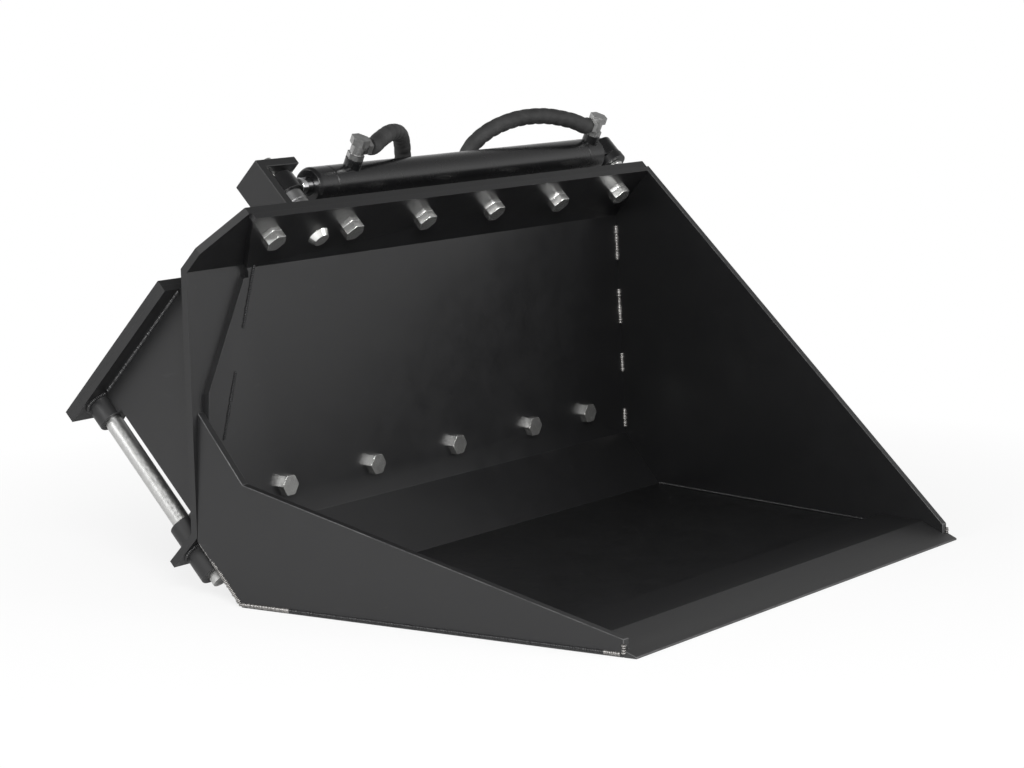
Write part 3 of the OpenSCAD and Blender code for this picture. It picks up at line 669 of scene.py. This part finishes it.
def hose_mesh(name, line, radius, rib, first):
    """Tube along a line whose cover bulges in slanting folds, deepest on the underside."""
    rings = []
    last = len(line) - 1
    spent = 0.0
    total = sum((q - p).length for p, q in zip(line, line[1:]))
    for i, point in enumerate(line):
        if i:
            spent += (point - line[i - 1]).length
        if i == 0:
            tangent = Vector((first, 0, 0))
        elif i == last:
            tangent = Vector((0, 0, -1))
        else:
            tangent = (line[i + 1] - line[i - 1]).normalized()
        side = tangent.cross(Vector((0, 1, 0))).normalized()
        other = tangent.cross(side)
        calm = min(1.0, spent / (CALM_RADII * radius), (total - spent) / (CALM_RADII * radius))
        ring = []
        for k in range(HOSE_SIDES):
            turn = 2 * math.pi * k / HOSE_SIDES
            out = side * math.cos(turn) + other * math.sin(turn)
            down = -out.z if abs(tangent.z) < STEEP else STEEP_UNDER
            under = FOLD_REST + (1.0 - FOLD_REST) * max(0.0, down)
            fold = abs(math.sin(math.pi * spent / rib + turn * 0.5))
            dent = FOLD_DEPTH * calm * under * (1.0 - fold) ** 1.5
            ring.append(point + out * radius * (1.0 - dent))
        rings.append(ring)
    points = [p for ring in rings for p in ring]
    faces = []
    for i in range(last):
        for k in range(HOSE_SIDES):
            a, b = i * HOSE_SIDES + k, i * HOSE_SIDES + (k + 1) % HOSE_SIDES
            faces.append((a, a + HOSE_SIDES, b + HOSE_SIDES, b))
    faces.append(tuple(range(HOSE_SIDES)))
    faces.append(tuple(last * HOSE_SIDES + k for k in reversed(range(HOSE_SIDES))))
    mesh = bpy.data.meshes.new(name)
    mesh.from_pydata(points, [], faces)
    work = bmesh.new()
    work.from_mesh(mesh)
    bmesh.ops.recalc_face_normals(work, faces=work.faces)
    work.to_mesh(mesh)
    work.free()
    mesh.materials.append(MATERIALS["hose"])
    smooth(mesh, HOSE_CREASE)
    return mesh


class TB_OT_hoses(bpy.types.Operator):
    """Make both hoses with their folded covers"""
    bl_idname = "tilt_bucket.hoses"
    bl_label = "Hoses"

    def execute(self, context):
        _paint, _edges, _welds, hoses, _stage = settings()
        for node, end, steps, first in (
                ("rod_port_hose", "rod_hose_end", ROD_HOSE, 1),
                ("base_port_hose", "base_hose_end", BASE_HOSE, -1)):
            hose_low, hose_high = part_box(node)
            start_x = hose_low.x if first > 0 else hose_high.x
            line = hose_line(Vector((start_x, hose_low.y + hoses.radius, 0.0)), steps)
            drop = hose_low.z - line[-1].z
            line = [p + Vector((0, 0, drop)) for p in line]
            line, length = even_line(line, HOSE_STEP)
            mesh = hose_mesh(node + "_cover", line, hoses.radius, hoses.rib, first)
            piece = add_object(node + "_cover", mesh)
            fitted(piece, BODY_OF[node])
            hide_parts(node)
        return {"FINISHED"}


# Slopes of the side plates, in towards the front and in towards the top
SIDE_TAPER = math.tan(math.radians(8.2))
SIDE_LEAN = math.tan(math.radians(3.2))
# Bead in the corner between back and side: half width at CORNER_Z, place along Y, and its runs
CORNER_X = 0.5205
CORNER_Z = 0.09
CORNER_Y = -0.009
CORNER_RUNS = ((0.462, 0.405), (0.350, 0.292), (0.235, 0.205), (0.135, 0.105))
# Bead on the low side's seam: its ends and the shares of it that are welded
SEAM_TOP = (-0.406, -0.0105, 0.486)
SEAM_LOW = (-0.482, -0.0105, 0.235)
SEAM_RUNS = ((0.0, 0.36), (0.62, 1.0))
# Beads under the side plates: half width at the back, height, rear and front ends, and for each
# side the shares that are bare and painted
FOOT_X = 0.5385
FOOT_Z = 0.0045
FOOT_BACK = 0.082
FOOT_FRONT = 0.694
FOOT_RUNS = (
    (-1, ((0.0, 0.13), (0.96, 1.0)), ((0.13, 0.96),)),
    (1, ((0.0, 0.2),), ((0.2, 1.0),)))
# Beads on the front ends of the side plates: their depth and their heights over the foot bead
END_DEPTH = 0.7005
END_HEIGHTS = (0.002, 0.012)
# Beads along the heel: depth of the lower end, and the upper end
HEEL_DEPTH = 0.078
HEEL_TOP = (0.5298, -0.002, 0.088)
# Beads inside: half width at the back, height, ends, and the run behind the cutting edge
INNER_X = 0.5235
INNER_Z = 0.0115
INNER_ENDS = (0.09, 0.57)
EDGE_HALF = 0.42
EDGE_DEPTH = 0.576
# Beads on the gussets, all at one place along the tilt axis: the top end of each and, for two
# groups of places along X, the low end
GUSSET_W = 0.355
GUSSET_TOP = 0.286
GUSSET_LINES = (((-0.505, -0.495), 0.060), ((-0.26, -0.25, 0.1406, 0.1506, 0.514), -0.008))
# Beads round the pivot: its place, the sides of a ring, and each ring's body, place and radius
PIVOT_X = -0.5
PIVOT_V = 0.028
RING_SIDES = 40
RINGS = (("frame", 0.3555, 0.0225), ("bucket", 0.0675, 0.0255))
# Beads at the foot of the rod bracket
BRACKET_X = (-0.348, -0.362)
BRACKET_V = (0.3737, 0.4337)
BRACKET_W = 0.3565


def corner_point(side, z):
    """Point in the corner between the back and a side plate."""
    return upright(side * (CORNER_X - (z - CORNER_Z) * SIDE_LEAN), CORNER_Y, z)


def foot_point(side, depth):
    """Point at the foot of a side plate's outer face, on the floor sheet's edge."""
    return upright(side * (FOOT_X - depth * SIDE_TAPER), -depth, FOOT_Z)


def inner_point(side, depth):
    """Point in the inner corner between the floor and a side plate."""
    return upright(side * (INNER_X - depth * SIDE_TAPER), -depth, INNER_Z)


def stretches(start, end, shares):
    """Parts of a straight line, each given as a pair of shares of it."""
    return [[start.lerp(end, a), start.lerp(end, b)] for a, b in shares]


class TB_OT_welds(bpy.types.Operator):
    """Lay the weld beads along the seams"""
    bl_idname = "tilt_bucket.welds"
    bl_label = "Welds"

    def execute(self, context):
        """Grows bare and painted beads."""
        _paint, _edges, welds, _hoses, _stage = settings()
        tree = bead_tree()

        def laid(name, runs, body, slot, finish, seed, share=1.0):
            """Grows one group of beads, their width given as a share of the bead setting."""
            grown(name, runs, tree, body, slot, Bead=welds.bead * share, Step=welds.step, Seed=seed,
                  Finish=MATERIALS[finish])

        laid("bare_corner_welds",
             [[corner_point(1, high), corner_point(1, low)] for high, low in CORNER_RUNS],
             "bucket", "zinc", "weld", 3, 1.5)
        laid("seam_welds", stretches(upright(*SEAM_TOP), upright(*SEAM_LOW), SEAM_RUNS),
             "bucket", "bucket_paint", "painted weld", 5, 0.8)
        bare, painted = [], []
        for side, bare_runs, painted_runs in FOOT_RUNS:
            back, front = foot_point(side, FOOT_BACK), foot_point(side, FOOT_FRONT)
            bare.extend(stretches(back, front, bare_runs))
            painted.extend(stretches(back, front, painted_runs))
            bare.append([foot_point(side, END_DEPTH) + Vector((0, 0, z)) for z in END_HEIGHTS])
        laid("foot_welds", bare, "bucket", "zinc", "weld", 7)
        laid("painted_foot_welds", painted, "bucket", "bucket_paint", "painted weld", 8, 0.9)
        heel_x, heel_y, heel_z = HEEL_TOP
        heel = [
            [foot_point(side, HEEL_DEPTH), upright(side * heel_x, heel_y, heel_z)]
            for side in (-1, 1)]
        laid("heel_welds", heel, "bucket", "zinc", "weld", 9)
        inner = [[inner_point(side, depth) for depth in INNER_ENDS] for side in (1, -1)]
        inner.append([upright(side * EDGE_HALF, -EDGE_DEPTH, INNER_Z) for side in (-1, 1)])
        laid("inner_welds", inner, "bucket", "bucket_paint", "painted weld", 11, 0.6)
        gussets = [
            [slanted(x, low, GUSSET_W), slanted(x, GUSSET_TOP, GUSSET_W)]
            for places, low in GUSSET_LINES for x in places]
        laid("frame_welds", gussets, "frame", "frame_paint", "painted weld", 13, 1.2)
        turns = [2 * math.pi * k / RING_SIDES for k in range(RING_SIDES + 1)]
        for body, w, radius in RINGS:
            ring = [
                slanted(PIVOT_X + radius * math.cos(a), PIVOT_V + radius * math.sin(a), w)
                for a in turns]
            laid(body + "_ring_weld", [ring], body, "frame_paint", "painted weld", 15)
        bracket = [[slanted(x, v, BRACKET_W) for x in BRACKET_X] for v in BRACKET_V]
        bracket += [[slanted(x, v, BRACKET_W) for v in BRACKET_V] for x in BRACKET_X]
        laid("bracket_welds", bracket, "bucket", "frame_paint", "painted weld", 17)
        return {"FINISHED"}


WHITE = (1.0, 1.0, 1.0, 1.0)
# Floor: its colour, half size and height, the distances over which it pales, and its glow there
FLOOR_COLOUR = (0.86, 0.86, 0.86, 1.0)
FLOOR_HALF = 12.0
FLOOR_Z = -0.0004
FLOOR_REACH = (0.6, 1.5)
FLOOR_GLOW = (0.8, 1.02)
# Sky: its light on the object, and the heights and the depth of the dim ceiling that gloss reflects
SKY_LIGHT = 0.3
CEILING_HEIGHTS = (0.15, 0.75)
CEILING_DIM = 0.85
# Lamps: place, size and the setting that gives the power
LAMPS = {
    "key": ((-2.6, -2.4, 2.0), 1.5, "key"),
    "fill": ((1.4, -3.4, 1.5), 1.6, "fill"),
    "rim": ((-2.6, 1.6, 1.9), 1.4, "fill"),
}
# Camera: sensor and lens in millimetres, place, aim, roll and the end of its view
SENSOR_WIDTH = 36.0
LENS = 90.1
CAMERA_PLACE = (-3.112, -2.436, 0.901)
CAMERA_AIM = (0.7711, 0.6169, -0.1577)
CAMERA_ROLL = -0.02
VIEW_END = 100.0


def lay_floor():
    """Floor that catches shadows and pales to the background away from the object."""
    floor_mesh = bpy.data.meshes.new("floor")
    signs = ((-1, -1), (1, -1), (1, 1), (-1, 1))
    corners = [(x * FLOOR_HALF, y * FLOOR_HALF, FLOOR_Z) for x, y in signs]
    floor_mesh.from_pydata(corners, [], [(0, 1, 2, 3)])
    material = bpy.data.materials.new("pale_floor")
    material.use_nodes = True
    tree = material.node_tree
    tree.nodes.clear()
    path = tree.nodes.new("ShaderNodeLightPath")
    matte = wire(tree, "ShaderNodeBsdfDiffuse", {"Color": FLOOR_COLOUR})
    glow = wire(tree, "ShaderNodeEmission", {"Color": WHITE, "Strength": 1.0})
    place = tree.nodes.new("ShaderNodeTexCoord").outputs["Object"]
    reach = wire(tree, "ShaderNodeVectorMath", {0: place}, operation="LENGTH").outputs["Value"]
    pale = ranged(tree, reach, *FLOOR_REACH, *FLOOR_GLOW)
    share = reckoned(tree, "MULTIPLY", path.outputs["Is Camera Ray"], pale)
    blend = wire(tree, "ShaderNodeMixShader", {
        "Fac": share, 1: matte.outputs["BSDF"], 2: glow.outputs["Emission"]})
    output = tree.nodes.new("ShaderNodeOutputMaterial")
    tree.links.new(blend.outputs["Shader"], output.inputs["Surface"])
    floor_mesh.materials.append(material)
    add_object("floor", floor_mesh)


def hang_sky(scene):
    """White sky that lights the object less than it shows, dimmed overhead in reflections."""
    world = bpy.data.worlds.new("studio")
    scene.world = world
    world.use_nodes = True
    tree = world.node_tree
    tree.nodes.clear()
    path = tree.nodes.new("ShaderNodeLightPath")
    glossy = path.outputs["Is Glossy Ray"]
    seen = path.outputs["Is Camera Ray"]
    for ray in (glossy, path.outputs["Is Transmission Ray"]):
        seen = reckoned(tree, "MAXIMUM", seen, ray)
    aim = tree.nodes.new("ShaderNodeTexCoord").outputs["Generated"]
    height = wire(tree, "ShaderNodeSeparateXYZ", {"Vector": aim}).outputs["Z"]
    overhead = ranged(tree, height, *CEILING_HEIGHTS, 0.0, CEILING_DIM)
    full = reckoned(tree, "SUBTRACT", 1.0, reckoned(tree, "MULTIPLY", overhead, glossy))
    light = ranged(tree, seen, 0.0, 1.0, SKY_LIGHT, 1.0)
    strength = reckoned(tree, "MULTIPLY", light, full)
    sky = wire(tree, "ShaderNodeBackground", {"Color": WHITE, "Strength": strength})
    output = tree.nodes.new("ShaderNodeOutputWorld")
    tree.links.new(sky.outputs["Background"], output.inputs["Surface"])


def place_lamps(scene, stage):
    """Square lamps round the object, aimed at its middle."""
    middle = (CAD_BOX[0] + CAD_BOX[1]) / 2
    for name, (place, size, power) in LAMPS.items():
        lamp = bpy.data.lights.new(name, "AREA")
        lamp.shape = "SQUARE"
        lamp.size = size
        lamp.energy = getattr(stage, power)
        holder = bpy.data.objects.new(name, lamp)
        holder.location = Vector(place)
        holder.rotation_euler = (middle - holder.location).to_track_quat("-Z", "Y").to_euler()
        scene.collection.objects.link(holder)


def place_camera(scene):
    """Camera that sees the object as the photo does."""
    camera = bpy.data.cameras.new("camera")
    camera.sensor_width = SENSOR_WIDTH
    camera.lens = LENS
    camera.clip_end = VIEW_END
    holder = bpy.data.objects.new("camera", camera)
    scene.collection.objects.link(holder)
    forward = Vector(CAMERA_AIM).normalized()
    right = forward.cross(Vector((0, 0, 1))).normalized()
    up = right.cross(forward)
    level_right = right * math.cos(CAMERA_ROLL) + up * math.sin(CAMERA_ROLL)
    level_up = up * math.cos(CAMERA_ROLL) - right * math.sin(CAMERA_ROLL)
    turn = Matrix((level_right, level_up, -forward)).transposed()
    holder.matrix_world = Matrix.Translation(Vector(CAMERA_PLACE)) @ turn.to_4x4()
    scene.camera = holder


class TB_OT_stage(bpy.types.Operator):
    """Set up the floor, the sky, the lamps and the camera"""
    bl_idname = "tilt_bucket.stage"
    bl_label = "Stage"

    def execute(self, context):
        """Builds the stage."""
        *_rest, stage = settings()
        lay_floor()
        hang_sky(context.scene)
        place_lamps(context.scene, stage)
        place_camera(context.scene)
        context.scene.view_settings.view_transform = "Standard"
        return {"FINISHED"}


class TB_PT_panel(bpy.types.Panel):
    """Panel that lists the steps and their sizes"""
    bl_label = "Tilt Bucket"
    bl_idname = "TB_PT_panel"
    bl_space_type = "VIEW_3D"
    bl_region_type = "UI"
    bl_category = "Tilt Bucket"

    def draw(self, context):
        """Draws the settings and the buttons."""
        for group in settings():
            for prop in group.bl_rna.properties:
                if prop.identifier not in ("rna_type", "name"):
                    self.layout.prop(group, prop.identifier)
        for operator in OPERATORS:
            self.layout.operator(operator.bl_idname)


GROUPS = {
    "tb_paint": PaintSettings, "tb_edges": EdgeSettings, "tb_welds": WeldSettings,
    "tb_hoses": HoseSettings, "tb_stage": StageSettings}
OPERATORS = (
    TB_OT_plates, TB_OT_fasteners, TB_OT_pivot, TB_OT_cylinder, TB_OT_fittings, TB_OT_hoses,
    TB_OT_welds, TB_OT_stage)


def register():
    """Registers the classes and the settings."""
    for name, group in GROUPS.items():
        bpy.utils.register_class(group)
        setattr(bpy.types.Scene, name, bpy.props.PointerProperty(type=group))
    for item in (*OPERATORS, TB_PT_panel):
        bpy.utils.register_class(item)


def unregister():
    """Removes the classes and the settings."""
    for item in (TB_PT_panel, *reversed(OPERATORS)):
        bpy.utils.unregister_class(item)
    for name, group in GROUPS.items():
        delattr(bpy.types.Scene, name)
        bpy.utils.unregister_class(group)


def main():
    """Builds everything in order."""
    register()
    make_materials()
    for operator in OPERATORS:
        group, name = operator.bl_idname.split(".")
        getattr(getattr(bpy.ops, group), name)()


if __name__ == "__main__":
    main()
